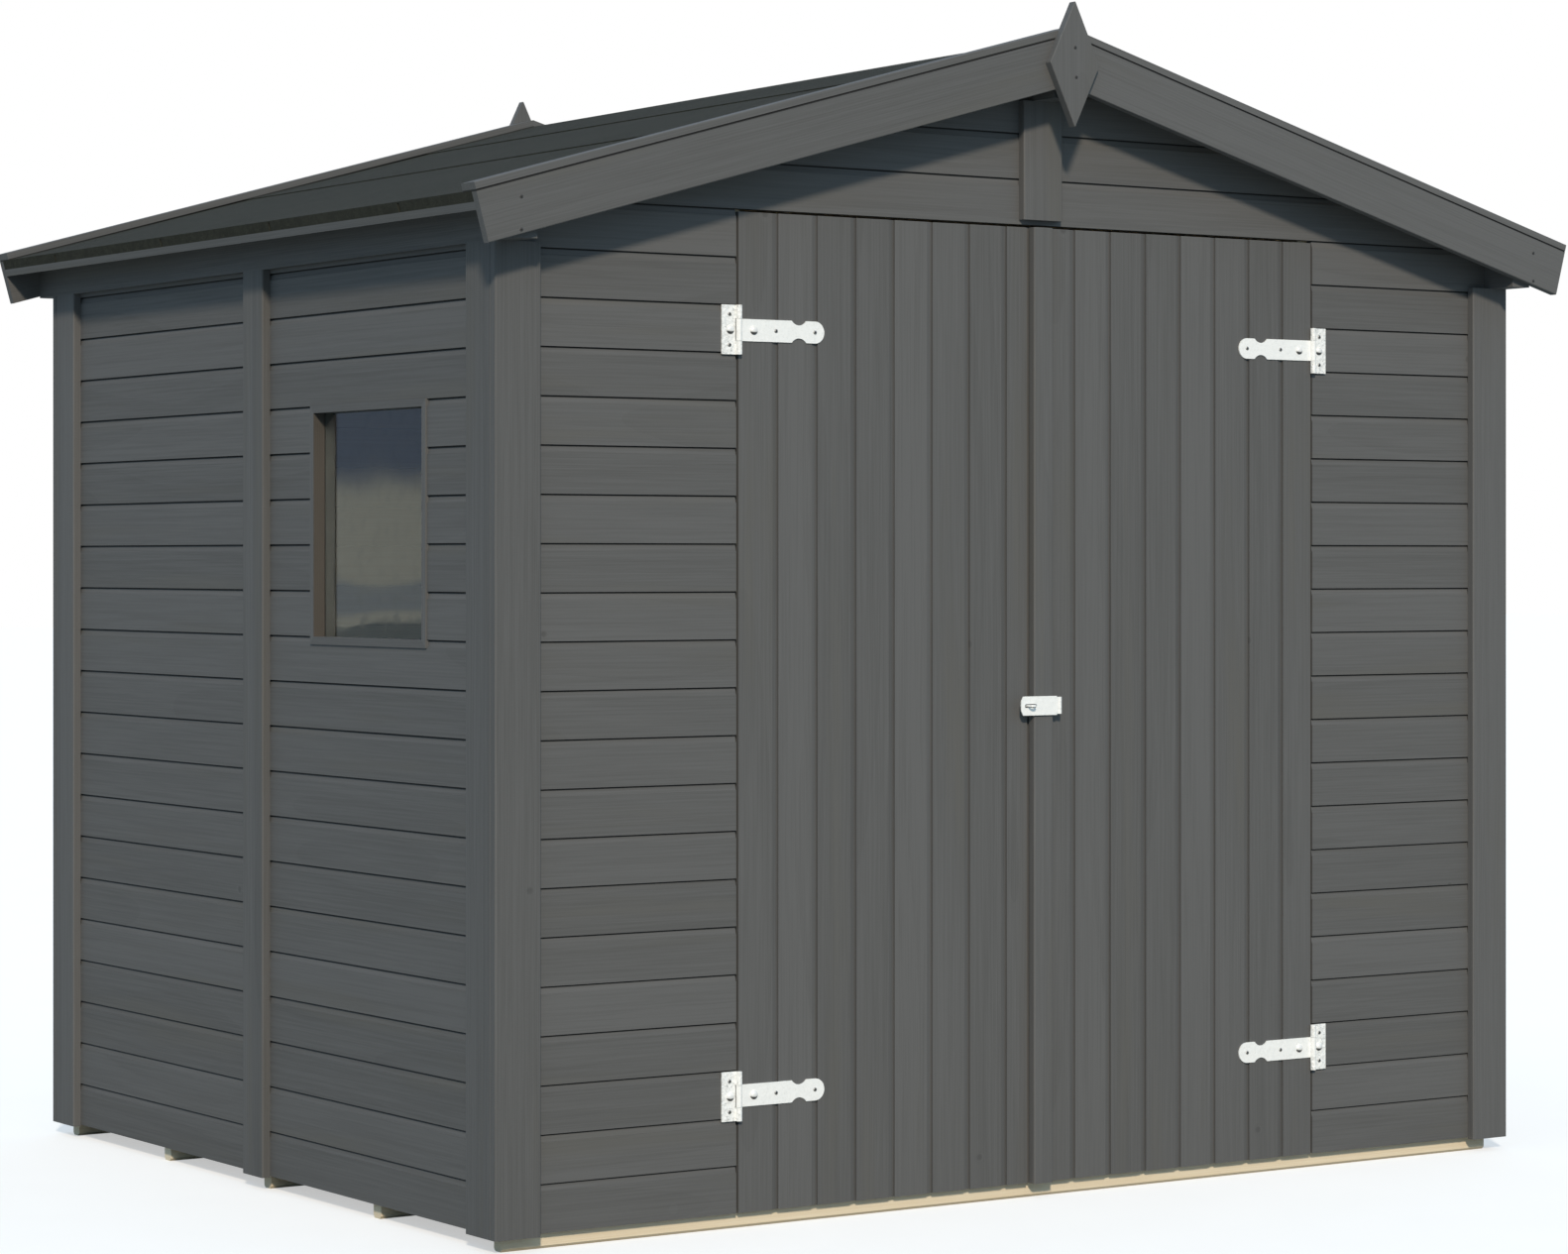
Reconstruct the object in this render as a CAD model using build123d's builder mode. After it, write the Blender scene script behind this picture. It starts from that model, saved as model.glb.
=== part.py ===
from build123d import *
from math import ceil, cos, radians, sin, tan
import os

os.makedirs("parts", exist_ok=True)

# The shed stands on the ground at z = 0. X runs along the front, Y runs from the front to the back,
# and the origin is under the middle of the floor.

# Overall sizes, over the faces of the wall boards
shed_width = 2288
shed_depth = 1791
board_thickness = 16
board_cover = 84
side_board_rows = 20
door_board_rows = 21
channel_width = 13
channel_depth = 4.5
channel_step = 1.5

# Floor
bearer_count = 5
bearer_width = 28
bearer_height = 45
bearer_chamfer = 5
floor_thickness = 16
board_overhang = 16

# Wall frames, of one batten section
batten_depth = 28
batten_width = 45
beam_seat_gap = 7

# Roof
roof_pitch = 15.5
eaves_overhang = 82
gable_overhang = 80
beam_width = 45
beam_height = 77
ridge_beam_height = 95
deck_thickness = 16
felt_thickness = 3
felt_lap = 2
felt_first_course = 560
felt_course = 450
felt_joint = 6
felt_joint_places = (-718, -228, 228, 718)
fascia_thickness = 16
fascia_depth = 90
capping_width = 45
capping_thickness = 14
eaves_strip_width = 45
eaves_strip_thickness = 14
finial_width = 112
finial_height = 228
finial_thickness = 16
finial_drop = 55
finial_blunt = 2
arris_round = 2

# Cover boards
trim_thickness = 16
end_trim_width = 90
side_trim_width = 87
joint_trim_width = 82
gable_trim_width = 89
gable_trim_lift = 8
trim_drop = 3
trim_round = 3

# Window in the left wall
window_size = 436
window_setback = 469
window_centre_z = 1240
lining_thickness = 14
lining_proud = 3
glass_thickness = 4
glass_depth = 20
glass_rebate = 4

# Double door
doorway_width = 1329
door_gap = 5
ledge_width = 90
ledge_thickness = 18
ledge_side_clear = 10
stop_size = 20
cover_strip_width = 44
cover_strip_thickness = 16
cover_strip_shift = 1
strip_clear = 5

# Strap hinges
hinge_heights = (235, 1580)
plate_length = 34
plate_height = 87
sheet_thickness = 2.5
barrel_radius = 5.5
pin_radius = 3
pin_clearance = 0.05
knuckle_clear = 0.5
strap_width = 39
strap_length = 183
notch_place = 129
notch_radius = 19
notch_depth = 8

# Hasp and staple
hasp_height = 908
hasp_width = 35
hasp_sheet = 2
hasp_axis_x = 35
hasp_barrel_radius = 4.5
hasp_pin_radius = 2.5
hasp_reach = 89
hasp_neck = 7
hasp_corner = 9
hasp_gap = 0.5
base_width = 31
base_length = 52
knuckle_share = 0.4
slot_length = 28
slot_width = 7
slot_margin = 8
staple_x = -33.5
staple_wire = 4
staple_facets = 16
staple_gap = 7
staple_clear = 12

# Levels and faces that follow from the sizes
half_width = shed_width / 2
half_depth = shed_depth / 2
boards_foot = bearer_height - board_overhang
floor_top = bearer_height + floor_thickness
side_boards_top = boards_foot + side_board_rows * board_cover
doorway_top = boards_foot + door_board_rows * board_cover
beam_seat = side_boards_top + beam_seat_gap
inner_x = half_width - board_thickness
inner_y = half_depth - board_thickness
frame_x = inner_x - batten_depth
frame_y = inner_y - batten_depth
beam_outer = half_width + trim_thickness
beam_inner = beam_outer - beam_width
roof_end = half_depth + gable_overhang
fascia_face = roof_end + fascia_thickness
window_centre_y = window_setback - half_depth
half_doorway = doorway_width / 2
ledge_heights = (hinge_heights[0], hasp_height, hinge_heights[1])
wall_seams = [boards_foot + row * board_cover for row in range(1, door_board_rows + 1)]
roof_rise = (beam_outer + eaves_overhang) * tan(radians(roof_pitch))
gable_seams = [doorway_top + row * board_cover for row in range(1, int(roof_rise / board_cover) + 1)]

# The roof's top plane, from which every layer is measured square to the slope
slope = radians(roof_pitch)
deck_top_depth = felt_thickness
deck_under_depth = felt_thickness + deck_thickness
under_ridge = beam_seat + beam_height + beam_outer * tan(slope)
roof_apex = under_ridge + deck_under_depth / cos(slope)
roof_reach = (beam_outer + eaves_overhang) / cos(slope)


def under_deck(x):
    """Height of the deck's underside at a distance x from the ridge."""
    return under_ridge - abs(x) * tan(slope)


def on_slope(reach, depth, side=1):
    """Point of the gable section, reach down the slope and depth below the roof's top plane."""
    x = reach * cos(slope) - depth * sin(slope)
    z = roof_apex - reach * sin(slope) - depth * cos(slope)
    return (side * x, z)


def slope_layer(side, depth_top, depth_foot, reach):
    """Corners of a layer of one slope, cut plumb at the ridge and square at the eaves."""
    return [
        on_slope(depth_top * tan(slope), depth_top, side),
        on_slope(reach, depth_top, side),
        on_slope(reach, depth_foot, side),
        on_slope(depth_foot * tan(slope), depth_foot, side),
    ]


def finish(part, name):
    """Label a finished piece and write it."""
    part.label = name
    export_step(part, f"parts/{name}.step")


def gable_plane(y):
    """Upright plane across the shed at y, drawn in x and z, that extrudes towards the back."""
    return Plane(origin=(0, y, 0), x_dir=(1, 0, 0), z_dir=(0, -1, 0))


def outline_between(corners, y_front, y_back):
    """Extrude an outline of x and z corners from y_front to y_back, in the builder that is open."""
    with BuildSketch(gable_plane(y_back)) as outline:
        with BuildLine():
            Polyline(*corners, close=True)
        make_face()
    extrude(outline.sketch, amount=y_back - y_front)


def stack_plane(origin, stack, outward):
    """Plane across a stack of boards: its x is the way they stack, and its y points out of their face."""
    across = Vector(stack).cross(Vector(outward))
    return Plane(origin=origin, x_dir=stack, z_dir=across)


def cut_channels(plane, seams, length):
    """Cut the channel that each board has below its seam, in the builder that is open."""
    with BuildSketch(plane) as sections:
        for seam in seams:
            with BuildLine():
                Polyline(
                    (seam, channel_width),
                    (seam, -channel_depth),
                    (seam - channel_width, -channel_step),
                    (seam - channel_width, channel_width),
                    close=True,
                )
            make_face()
    extrude(sections.sketch, amount=length, mode=Mode.SUBTRACT)


def round_outer_edges(long_edges, across, radius):
    """Round the long edges that lie furthest out along an axis, in the builder that is open."""
    groups = long_edges.group_by(across)
    fillet(groups[0] + groups[-1], radius)


def block(low, high):
    """Box between two corners, in the builder that is open."""
    size = [b - a for a, b in zip(low, high)]
    with Locations(low):
        Box(*size, align=(Align.MIN, Align.MIN, Align.MIN))


# Floor

with BuildPart() as floor_bearers:
    half_bearer = bearer_width / 2
    first = half_bearer - inner_y
    bearer_pitch = -2 * first / (bearer_count - 1)
    with BuildSketch(Plane.YZ.offset(-inner_x)):
        for index in range(bearer_count):
            with Locations((first + index * bearer_pitch, bearer_height / 2)):
                Rectangle(bearer_width, bearer_height)
    extrude(amount=2 * inner_x)
    lower_edges = floor_bearers.edges().filter_by(Axis.X).group_by(Axis.Z)[0]
    chamfer(lower_edges, bearer_chamfer)
finish(floor_bearers.part, "floor_bearers")

with BuildPart() as floor_boards:
    block((-inner_x, -inner_y, bearer_height), (inner_x, inner_y, floor_top))
finish(floor_boards.part, "floor_boards")

# Wall boards. Each has a square lower edge over the sloping channel of the board below.

front_stack = stack_plane((-half_width, -half_depth, 0), (0, 0, 1), (0, -1, 0))
back_stack = stack_plane((half_width, half_depth, 0), (0, 0, 1), (0, 1, 0))
left_stack = stack_plane((-half_width, half_depth, 0), (0, 0, 1), (-1, 0, 0))
right_stack = stack_plane((half_width, -half_depth, 0), (0, 0, 1), (1, 0, 0))

for name, side in (("front_wall_left", -1), ("front_wall_right", 1)):
    with BuildPart() as front_wall:
        corners = [
            (side * half_width, boards_foot),
            (side * half_doorway, boards_foot),
            (side * half_doorway, doorway_top),
            (side * beam_inner, doorway_top),
            (side * beam_inner, beam_seat),
            (side * half_width, beam_seat),
        ]
        outline_between(corners, -half_depth, -inner_y)
        cut_channels(front_stack, wall_seams, shed_width)
    finish(front_wall.part, name)

with BuildPart() as back_wall:
    corners = [
        (-half_width, boards_foot),
        (half_width, boards_foot),
        (half_width, beam_seat),
        (beam_inner, beam_seat),
        (beam_inner, doorway_top),
        (-beam_inner, doorway_top),
        (-beam_inner, beam_seat),
        (-half_width, beam_seat),
    ]
    outline_between(corners, inner_y, half_depth)
    cut_channels(back_stack, wall_seams, shed_width)
finish(back_wall.part, "back_wall")

ridge_beam_foot = under_ridge - ridge_beam_height
half_beam = beam_width / 2
gables = (("front_gable", -half_depth, front_stack), ("back_gable", inner_y, back_stack))
for name, y_front, stack in gables:
    with BuildPart() as gable:
        corners = [
            (-beam_inner, doorway_top),
            (beam_inner, doorway_top),
            (beam_inner, under_deck(beam_inner)),
            (half_beam, under_deck(half_beam)),
            (half_beam, ridge_beam_foot),
            (-half_beam, ridge_beam_foot),
            (-half_beam, under_deck(half_beam)),
            (-beam_inner, under_deck(beam_inner)),
        ]
        outline_between(corners, y_front, y_front + board_thickness)
        cut_channels(stack, gable_seams, shed_width)
    finish(gable.part, name)

half_window = window_size / 2
side_walls = (
    ("left_wall_front", -half_width, -inner_y, left_stack),
    ("left_wall_back", -half_width, 0, left_stack),
    ("right_wall_front", inner_x, -inner_y, right_stack),
    ("right_wall_back", inner_x, 0, right_stack),
)
for name, x_low, y_low, stack in side_walls:
    with BuildPart() as side_wall:
        block((x_low, y_low, boards_foot), (x_low + board_thickness, y_low + inner_y, beam_seat))
        cut_channels(stack, wall_seams[:side_board_rows], shed_depth)
        if name == "left_wall_front":
            with Locations((-half_width, window_centre_y, window_centre_z)):
                Box(2 * board_thickness, window_size, window_size, mode=Mode.SUBTRACT)
    finish(side_wall.part, name)

# Wall frames of battens, inside the boards

foot_rail_top = floor_top + batten_width
top_rail_foot = beam_seat - batten_width
window_front = window_centre_y - half_window
window_back = window_centre_y + half_window
window_foot = window_centre_z - half_window
window_top = window_centre_z + half_window

with BuildPart() as side_rails:
    for x_low in (-inner_x, frame_x):
        for z_low in (floor_top, top_rail_foot):
            block((x_low, -inner_y, z_low), (x_low + batten_depth, inner_y, z_low + batten_width))
    for z_low in (window_foot - batten_width, window_top):
        block((-inner_x, window_front, z_low), (-frame_x, window_back, z_low + batten_width))
finish(side_rails.part, "side_rails")

with BuildPart() as side_studs:
    end_stud = inner_y - batten_width
    for x_low in (-inner_x, frame_x):
        for y_low in (-inner_y, -batten_width / 2, end_stud):
            block((x_low, y_low, foot_rail_top), (x_low + batten_depth, y_low + batten_width, top_rail_foot))
    for y_low in (window_front - batten_width, window_back):
        block((-inner_x, y_low, foot_rail_top), (-frame_x, y_low + batten_width, top_rail_foot))
finish(side_studs.part, "side_studs")

header_top = doorway_top + batten_width
post_end = frame_x - batten_width
door_post_end = half_doorway + batten_width

with BuildPart() as end_posts:
    for y_low in (-inner_y, frame_y):
        for x_low in (-frame_x, post_end):
            block((x_low, y_low, floor_top), (x_low + batten_width, y_low + batten_depth, doorway_top))
        block((-half_beam, y_low, header_top), (half_beam, y_low + batten_depth, ridge_beam_foot))
    for x_low in (-door_post_end, half_doorway):
        block((x_low, -inner_y, floor_top), (x_low + batten_width, -frame_y, doorway_top))
    block((-half_beam, frame_y, foot_rail_top), (half_beam, inner_y, doorway_top))
finish(end_posts.part, "end_posts")

header_reach = (under_ridge - header_top) / tan(slope)
with BuildPart() as end_rails:
    for side in (-1, 1):
        x_low = min(side * post_end, side * door_post_end)
        block((x_low, -inner_y, floor_top), (x_low + post_end - door_post_end, -frame_y, foot_rail_top))
    block((-post_end, frame_y, floor_top), (post_end, inner_y, foot_rail_top))
    header = [
        (-frame_x, doorway_top),
        (frame_x, doorway_top),
        (frame_x, under_deck(frame_x)),
        (header_reach, header_top),
        (-header_reach, header_top),
        (-frame_x, under_deck(frame_x)),
    ]
    outline_between(header, -inner_y, -frame_y)
    outline_between(header, frame_y, inner_y)
finish(end_rails.part, "end_rails")

rail_drop = batten_width / cos(slope)
rail_foot_reach = (under_ridge - rail_drop - header_top) / tan(slope)
with BuildPart() as gable_rails:
    for y_front in (-inner_y, frame_y):
        for side in (-1, 1):
            corners = [
                (side * half_beam, under_deck(half_beam)),
                (side * header_reach, header_top),
                (side * rail_foot_reach, header_top),
                (side * half_beam, under_deck(half_beam) - rail_drop),
            ]
            outline_between(corners, y_front, y_front + batten_depth)
finish(gable_rails.part, "gable_rails")

# Cover boards over the corners, the joints of the wall elements and the gables

trim_foot = boards_foot - trim_drop

with BuildPart() as end_corner_boards:
    for y_low in (-half_depth - trim_thickness, half_depth):
        for x_low in (-beam_outer, beam_outer - end_trim_width):
            block((x_low, y_low, trim_foot), (x_low + end_trim_width, y_low + trim_thickness, beam_seat))
    round_outer_edges(end_corner_boards.edges().filter_by(Axis.Z), Axis.Y, trim_round)
finish(end_corner_boards.part, "end_corner_boards")

with BuildPart() as side_corner_boards:
    for x_low in (-beam_outer, half_width):
        for y_low in (-half_depth, half_depth - side_trim_width):
            block((x_low, y_low, trim_foot), (x_low + trim_thickness, y_low + side_trim_width, beam_seat))
    round_outer_edges(side_corner_boards.edges().filter_by(Axis.Z), Axis.X, trim_round)
finish(side_corner_boards.part, "side_corner_boards")

with BuildPart() as side_joint_boards:
    half_joint = joint_trim_width / 2
    for x_low in (-beam_outer, half_width):
        block((x_low, -half_joint, trim_foot), (x_low + trim_thickness, half_joint, beam_seat))
    round_outer_edges(side_joint_boards.edges().filter_by(Axis.Z), Axis.X, trim_round)
finish(side_joint_boards.part, "side_joint_boards")

with BuildPart() as gable_centre_boards:
    half_board = gable_trim_width / 2
    for y_low in (-half_depth - trim_thickness, half_depth):
        block(
            (-half_board, y_low, doorway_top + gable_trim_lift),
            (half_board, y_low + trim_thickness, ridge_beam_foot),
        )
    round_outer_edges(gable_centre_boards.edges().filter_by(Axis.Z), Axis.Y, trim_round)
finish(gable_centre_boards.part, "gable_centre_boards")

# Roof

with BuildPart() as eaves_beams:
    for side in (-1, 1):
        corners = [
            (side * beam_outer, beam_seat),
            (side * beam_inner, beam_seat),
            (side * beam_inner, under_deck(beam_inner)),
            (side * beam_outer, under_deck(beam_outer)),
        ]
        outline_between(corners, -roof_end, roof_end)
finish(eaves_beams.part, "eaves_beams")

with BuildPart() as ridge_beam:
    corners = [
        (-half_beam, ridge_beam_foot),
        (half_beam, ridge_beam_foot),
        (half_beam, under_deck(half_beam)),
        (0, under_ridge),
        (-half_beam, under_deck(half_beam)),
    ]
    outline_between(corners, -roof_end, roof_end)
finish(ridge_beam.part, "ridge_beam")

sides = (("left", -1), ("right", 1))
deck_reach = roof_reach - felt_thickness
for side_name, side in sides:
    with BuildPart() as roof_deck:
        corners = slope_layer(side, deck_top_depth, deck_under_depth, deck_reach)
        outline_between(corners, -roof_end, roof_end)
    finish(roof_deck.part, f"roof_deck_{side_name}")

with BuildPart() as roofing_felt:
    lap_reaches = []
    reach = roof_reach - felt_first_course
    while reach > felt_course / 2:
        lap_reaches.insert(0, reach)
        reach -= felt_course
    laps = []
    for reach in lap_reaches:
        laps += [on_slope(reach, 0), on_slope(reach, felt_lap)]
    right_half = [
        *laps,
        on_slope(roof_reach, 0),
        on_slope(roof_reach, deck_under_depth),
        on_slope(deck_reach, deck_under_depth),
        on_slope(deck_reach, deck_top_depth),
    ]
    left_half = [(-x, z) for x, z in reversed(right_half)]
    corners = [(0, roof_apex), *right_half, (0, roof_apex - deck_top_depth / cos(slope)), *left_half]
    outline_between(corners, -roof_end, roof_end)
    joint_plane = Plane.XY.offset(on_slope(roof_reach, deck_under_depth)[1])
    with BuildSketch(joint_plane) as joints:
        for y_place in felt_joint_places:
            for side in (-1, 1):
                with Locations((side * (beam_outer + eaves_overhang), y_place)):
                    Rectangle(eaves_overhang / 4, felt_joint)
    extrude(joints.sketch, amount=deck_under_depth - deck_top_depth, both=True, mode=Mode.SUBTRACT)
finish(roofing_felt.part, "roofing_felt")

with BuildPart() as eaves_strips:
    strip_foot_depth = deck_under_depth + eaves_strip_thickness
    for side in (-1, 1):
        corners = [
            on_slope(roof_reach, deck_under_depth, side),
            on_slope(roof_reach, strip_foot_depth, side),
            on_slope(roof_reach - eaves_strip_width, strip_foot_depth, side),
            on_slope(roof_reach - eaves_strip_width, deck_under_depth, side),
        ]
        outline_between(corners, -roof_end, roof_end)
finish(eaves_strips.part, "eaves_strips")

for side_name, side in sides:
    with BuildPart() as fascias:
        corners = slope_layer(side, 0, fascia_depth, roof_reach)
        outline_between(corners, -fascia_face, -roof_end)
        outline_between(corners, roof_end, fascia_face)
        long_edges = fascias.edges().filter_by(lambda edge: edge.length > roof_reach / 2)
        round_outer_edges(long_edges, Axis.Y, arris_round)
    finish(fascias.part, f"{side_name}_fascias")

    with BuildPart() as cappings:
        corners = slope_layer(side, -capping_thickness, 0, roof_reach)
        outline_between(corners, -fascia_face, capping_width - fascia_face)
        outline_between(corners, fascia_face - capping_width, fascia_face)
        long_edges = cappings.edges().filter_by(lambda edge: edge.length > roof_reach / 2)
        round_outer_edges(long_edges, Axis.Y, arris_round)
    finish(cappings.part, f"{side_name}_capping_strips")

with BuildPart() as finials:
    finial_centre = roof_apex - finial_drop
    half_finial_width = finial_width / 2
    half_finial_height = finial_height / 2
    half_blunt = finial_blunt / 2
    corners = [
        (half_blunt, finial_centre - half_finial_height),
        (half_finial_width, finial_centre - half_blunt),
        (half_finial_width, finial_centre + half_blunt),
        (half_blunt, finial_centre + half_finial_height),
        (-half_blunt, finial_centre + half_finial_height),
        (-half_finial_width, finial_centre + half_blunt),
        (-half_finial_width, finial_centre - half_blunt),
        (-half_blunt, finial_centre - half_finial_height),
    ]
    outline_between(corners, -fascia_face - finial_thickness, -fascia_face)
    outline_between(corners, fascia_face, fascia_face + finial_thickness)
    rim = finials.edges().filter_by(Axis.Y, reverse=True).group_by(Axis.Y)
    chamfer(rim[0] + rim[-1], arris_round / 2)
finish(finials.part, "finials")

# Window

lining_outer = -half_width - lining_proud
inner_window = window_size - 2 * lining_thickness
glass_size = inner_window + 2 * glass_rebate
glass_centre = -half_width + glass_depth + glass_thickness / 2

with BuildPart() as window_lining:
    with BuildSketch(Plane.YZ.offset(lining_outer)):
        with Locations((window_centre_y, window_centre_z)):
            Rectangle(window_size, window_size)
            Rectangle(inner_window, inner_window, mode=Mode.SUBTRACT)
    extrude(amount=-frame_x - lining_outer)
    with Locations((glass_centre, window_centre_y, window_centre_z)):
        Box(glass_thickness, glass_size, glass_size, mode=Mode.SUBTRACT)
finish(window_lining.part, "window_lining")

with BuildPart() as window_glass:
    with Locations((glass_centre, window_centre_y, window_centre_z)):
        Box(glass_thickness, glass_size, glass_size)
finish(window_glass.part, "window_glass")

# Doors

leaf_outer = half_doorway - door_gap
leaf_inner = door_gap / 2
leaf_boards = ceil((leaf_outer - leaf_inner) / board_cover)
leaf_top = doorway_top - door_gap
strip_low = cover_strip_shift - cover_strip_width / 2
strip_face = -half_depth - cover_strip_thickness

with BuildPart() as door_stops:
    stop_front = door_gap - inner_y
    for x_low in (-half_doorway, half_doorway - stop_size):
        block((x_low, stop_front, floor_top), (x_low + stop_size, stop_front + stop_size, doorway_top))
finish(door_stops.part, "door_stops")

for side_name, side in sides:
    with BuildPart() as leaf:
        x_low = min(side * leaf_outer, side * leaf_inner)
        x_high = max(side * leaf_outer, side * leaf_inner)
        block((x_low, -half_depth, boards_foot), (x_high, -inner_y, leaf_top))
        leaf_seams = [x_low + row * board_cover for row in range(1, leaf_boards)]
        leaf_stack = stack_plane((0, -half_depth, leaf_top), (1, 0, 0), (0, -1, 0))
        cut_channels(leaf_stack, leaf_seams, leaf_top - boards_foot)
        if side_name == "left":
            with Locations((strip_low - strip_clear, -half_depth, boards_foot)):
                Box(
                    board_cover,
                    strip_clear,
                    leaf_top - boards_foot,
                    align=(Align.MIN, Align.MIN, Align.MIN),
                    mode=Mode.SUBTRACT,
                )
    finish(leaf.part, f"{side_name}_door_boards")

    with BuildPart() as ledges:
        ledge_outer = half_doorway - stop_size - ledge_side_clear
        ledge_inner = leaf_inner + stop_size + ledge_side_clear
        x_low = min(side * ledge_outer, side * ledge_inner)
        x_high = max(side * ledge_outer, side * ledge_inner)
        for height in ledge_heights:
            block(
                (x_low, -inner_y, height - ledge_width / 2),
                (x_high, ledge_thickness - inner_y, height + ledge_width / 2),
            )
    finish(ledges.part, f"{side_name}_door_ledges")

with BuildPart() as cover_strip:
    block((strip_low, strip_face, boards_foot), (strip_low + cover_strip_width, -half_depth, leaf_top))
    fillet(cover_strip.edges().filter_by(Axis.Z).group_by(Axis.Y)[0], trim_round)
finish(cover_strip.part, "door_cover_strip")

# Strap hinges: a plate with two knuckles and a pin on the jamb, a strap with the middle knuckle on the leaf

hinge_x = half_doorway - door_gap / 2
hinge_y = -half_depth - barrel_radius

with BuildPart() as hinge_plates:
    knuckle_height = (plate_height - strap_width) / 2
    for side in (-1, 1):
        for height in hinge_heights:
            x_far = side * (hinge_x + plate_length)
            x_near = side * hinge_x
            x_middle = side * (hinge_x + barrel_radius + knuckle_clear)
            half_plate = plate_height / 2
            block(
                (min(x_far, x_middle), -half_depth - sheet_thickness, height - half_plate),
                (max(x_far, x_middle), -half_depth, height + half_plate),
            )
            for z_low in (height - half_plate, height + half_plate - knuckle_height):
                block(
                    (min(x_near, x_middle), -half_depth - sheet_thickness, z_low),
                    (max(x_near, x_middle), -half_depth, z_low + knuckle_height),
                )
                with Locations((x_near, hinge_y, z_low + knuckle_height / 2)):
                    Cylinder(barrel_radius, knuckle_height)
            with Locations((x_near, hinge_y, height)):
                Cylinder(pin_radius, plate_height)
finish(hinge_plates.part, "hinge_plates")

for side_name, side in sides:
    with BuildPart() as straps:
        strap_face = Plane(origin=(side * hinge_x, -half_depth, 0), x_dir=(-side, 0, 0), z_dir=(0, -1, 0))
        for height in hinge_heights:
            tip_centre = strap_length - strap_width / 2
            up = 1 if side < 0 else -1
            with BuildSketch(strap_face):
                with Locations((tip_centre / 2, up * height)):
                    Rectangle(tip_centre, strap_width)
                with Locations((tip_centre, up * height)):
                    Circle(strap_width / 2)
                for edge in (-1, 1):
                    notch_y = up * height + edge * (strap_width / 2 + notch_radius - notch_depth)
                    with Locations((notch_place, notch_y)):
                        Circle(notch_radius, mode=Mode.SUBTRACT)
            extrude(amount=sheet_thickness)
            with Locations((side * hinge_x, hinge_y, height)):
                Cylinder(barrel_radius, strap_width - 2 * knuckle_clear)
                Cylinder(pin_radius + pin_clearance, strap_width, mode=Mode.SUBTRACT)
    finish(straps.part, f"{side_name}_door_straps")

# Hasp on the cover strip, and the staple on the left leaf

base_face = strip_face - hasp_sheet
flap_back = base_face - hasp_gap
flap_front = flap_back - hasp_sheet
hasp_axis_y = base_face - hasp_gap / 2
middle_knuckle = knuckle_share * base_width
flap_end = hasp_axis_x - hasp_reach
neck_x = hasp_axis_x - hasp_neck

with BuildPart() as hasp_base:
    block(
        (hasp_axis_x - base_length, base_face, hasp_height - base_width / 2),
        (hasp_axis_x, strip_face, hasp_height + base_width / 2),
    )
    with Locations((hasp_axis_x, hasp_axis_y, hasp_height)):
        Cylinder(hasp_barrel_radius + knuckle_clear, base_width, mode=Mode.SUBTRACT)
        Cylinder(hasp_barrel_radius, middle_knuckle)
        Cylinder(hasp_pin_radius, base_width)
    web_x = hasp_axis_x - hasp_barrel_radius - knuckle_clear
    block(
        (web_x, base_face, hasp_height - middle_knuckle / 2),
        (hasp_axis_x, strip_face, hasp_height + middle_knuckle / 2),
    )
finish(hasp_base.part, "hasp_base")

with BuildPart() as hasp_flap:
    with BuildSketch(gable_plane(flap_back)):
        with BuildLine():
            Polyline(
                (hasp_axis_x, hasp_height - base_width / 2),
                (hasp_axis_x, hasp_height + base_width / 2),
                (neck_x, hasp_height + base_width / 2),
                (neck_x, hasp_height + hasp_width / 2),
                (flap_end + hasp_corner / 2, hasp_height + hasp_width / 2),
                (flap_end, hasp_height + hasp_width / 2 - hasp_corner),
                (flap_end, hasp_height - hasp_width / 2 + hasp_corner),
                (flap_end + hasp_corner / 2, hasp_height - hasp_width / 2),
                (neck_x, hasp_height - hasp_width / 2),
                (neck_x, hasp_height - base_width / 2),
                close=True,
            )
        make_face()
        with Locations((flap_end + slot_margin + slot_length / 2, hasp_height)):
            SlotOverall(slot_length, slot_width, mode=Mode.SUBTRACT)
    extrude(amount=hasp_sheet)
    with Locations((hasp_axis_x, hasp_axis_y, hasp_height)):
        Cylinder(hasp_barrel_radius + knuckle_clear, middle_knuckle + 2 * knuckle_clear, mode=Mode.SUBTRACT)
    end_knuckle = (base_width - middle_knuckle) / 2 - knuckle_clear
    for end in (-1, 1):
        end_z = hasp_height + end * (base_width - end_knuckle) / 2
        with Locations((hasp_axis_x, hasp_axis_y, end_z)):
            Cylinder(hasp_barrel_radius, end_knuckle)
            Cylinder(hasp_pin_radius + pin_clearance, end_knuckle, mode=Mode.SUBTRACT)
finish(hasp_flap.part, "hasp_flap")

with BuildPart() as hasp_staple:
    bow_radius = (staple_gap + staple_wire) / 2
    bow_y = flap_front - staple_clear + bow_radius
    with BuildLine() as wire:
        Line((staple_x - bow_radius, -half_depth, hasp_height), (staple_x - bow_radius, bow_y, hasp_height))
        ThreePointArc(
            (staple_x - bow_radius, bow_y, hasp_height),
            (staple_x, bow_y - bow_radius, hasp_height),
            (staple_x + bow_radius, bow_y, hasp_height),
        )
        Line((staple_x + bow_radius, bow_y, hasp_height), (staple_x + bow_radius, -half_depth, hasp_height))
    with BuildSketch(Plane(origin=wire.line @ 0, z_dir=wire.line % 0)):
        RegularPolygon(staple_wire / 2, staple_facets)
    sweep()
finish(hasp_staple.part, "hasp_staple")
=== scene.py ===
import math

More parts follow.
